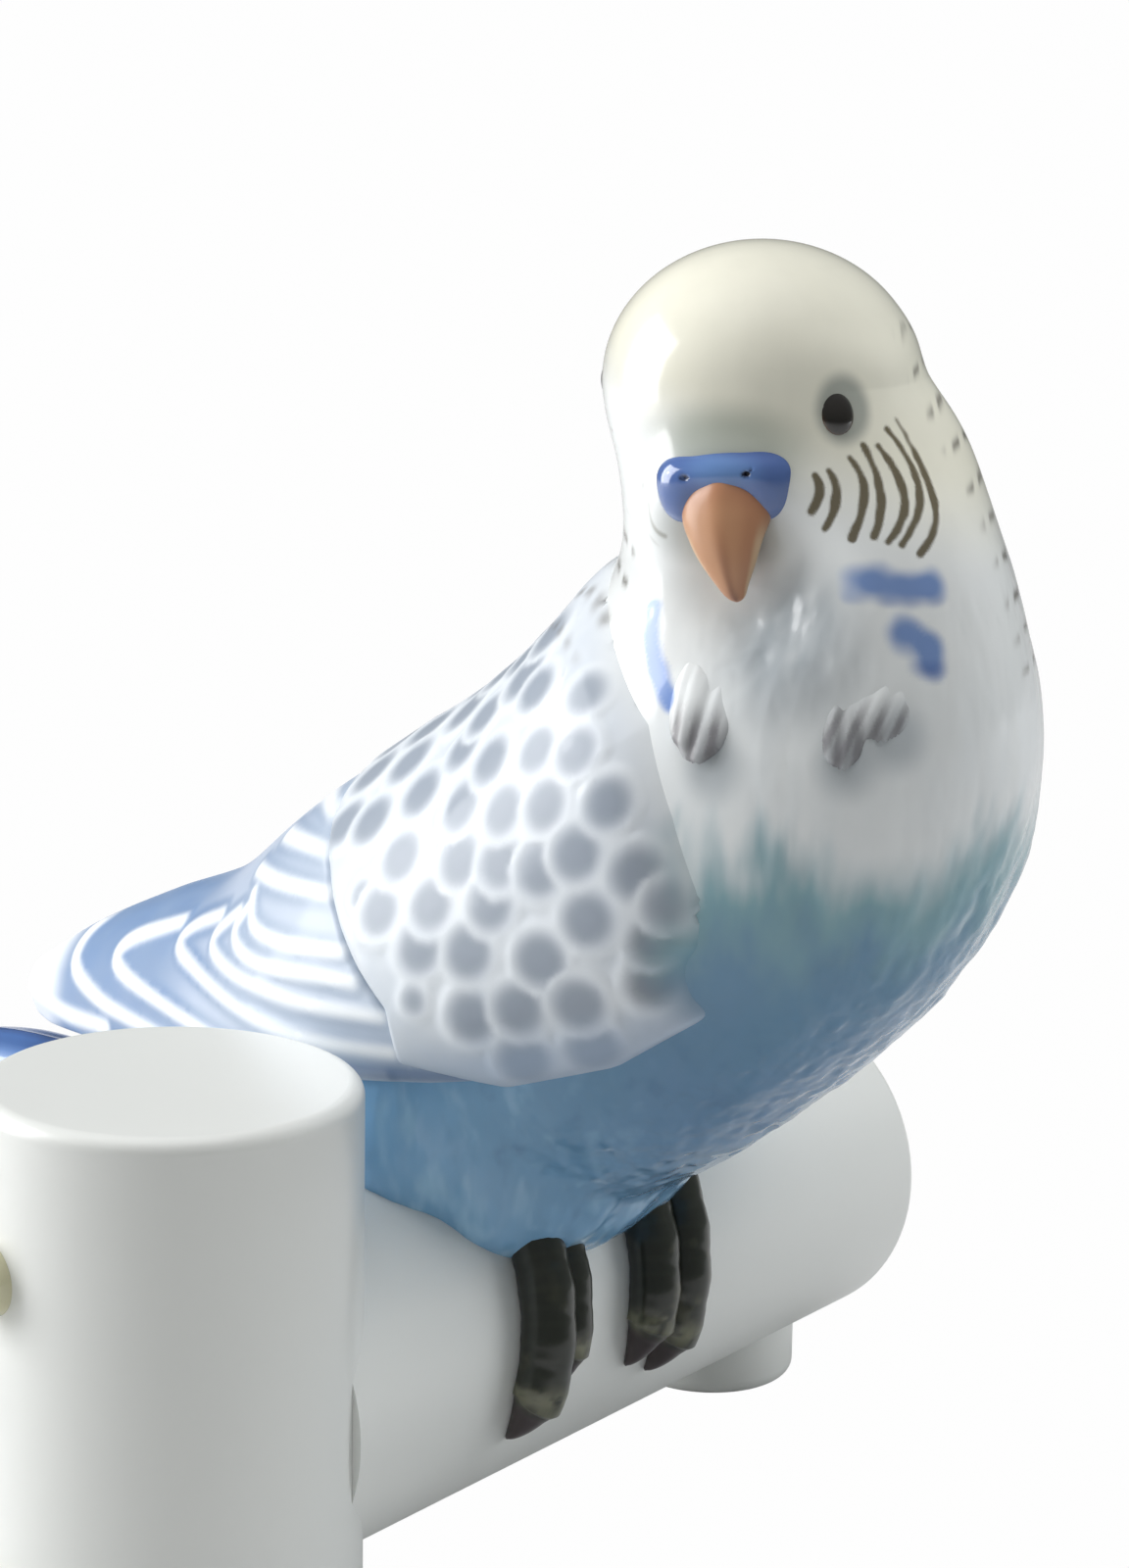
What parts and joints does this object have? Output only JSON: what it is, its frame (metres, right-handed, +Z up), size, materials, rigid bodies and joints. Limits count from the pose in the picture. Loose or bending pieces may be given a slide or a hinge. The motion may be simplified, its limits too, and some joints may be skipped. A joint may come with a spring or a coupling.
{
  "type": "porcelain figurine",
  "caption": "Glazed porcelain budgerigar with a turned head, standing over a round horizontal perch tube that springs from a short upright post",
  "frame": {"origin": "centre of the post's foot, on the surface the figurine stands on", "axes": "+Z up, +X along the perch away from the post, -Y the way the bird's breast points, +Y towards its tail"},
  "size_m": [0.1029, 0.1479, 0.1097],
  "materials": {
    "porcelain_white": "gloss",
    "porcelain_breast": "gloss",
    "porcelain_head": "gloss",
    "porcelain_wing": "gloss",
    "porcelain_tail": "gloss",
    "glaze_cere": "gloss",
    "glaze_beak": "satin",
    "glaze_eye": "gloss",
    "glaze_toe": "gloss",
    "glaze_tuft": "gloss",
    "porcelain_cream": "gloss"
  },
  "bodies": {
    "root": {"post_shell": "porcelain_white", "post_base_disc": "porcelain_white", "perch_tube": "porcelain_white", "perch_foot": "porcelain_white", "upper_peg": "porcelain_cream", "lower_peg": "porcelain_cream", "body_shell": "porcelain_breast", "head_shell": "porcelain_head", "upper_beak": "glaze_beak", "cere": "glaze_cere", "left_eye": "glaze_eye", "right_eye": "glaze_eye", "right_wing_coverts": "porcelain_wing", "left_wing_coverts": "porcelain_wing", "right_flight_feathers": "porcelain_wing", "left_flight_feathers": "porcelain_wing", "central_tail_feathers": "porcelain_tail", "right_outer_tail_feathers": "porcelain_tail", "left_outer_tail_feathers": "porcelain_tail", "right_throat_tuft": "glaze_tuft", "left_throat_tuft": "glaze_tuft", "right_foot_outer_toe": "glaze_toe", "right_foot_inner_toe": "glaze_toe", "left_foot_inner_toe": "glaze_toe", "left_foot_outer_toe": "glaze_toe", "right_foot_rear_toes": "glaze_toe", "left_foot_rear_toes": "glaze_toe"}
  },
  "joints": []
}
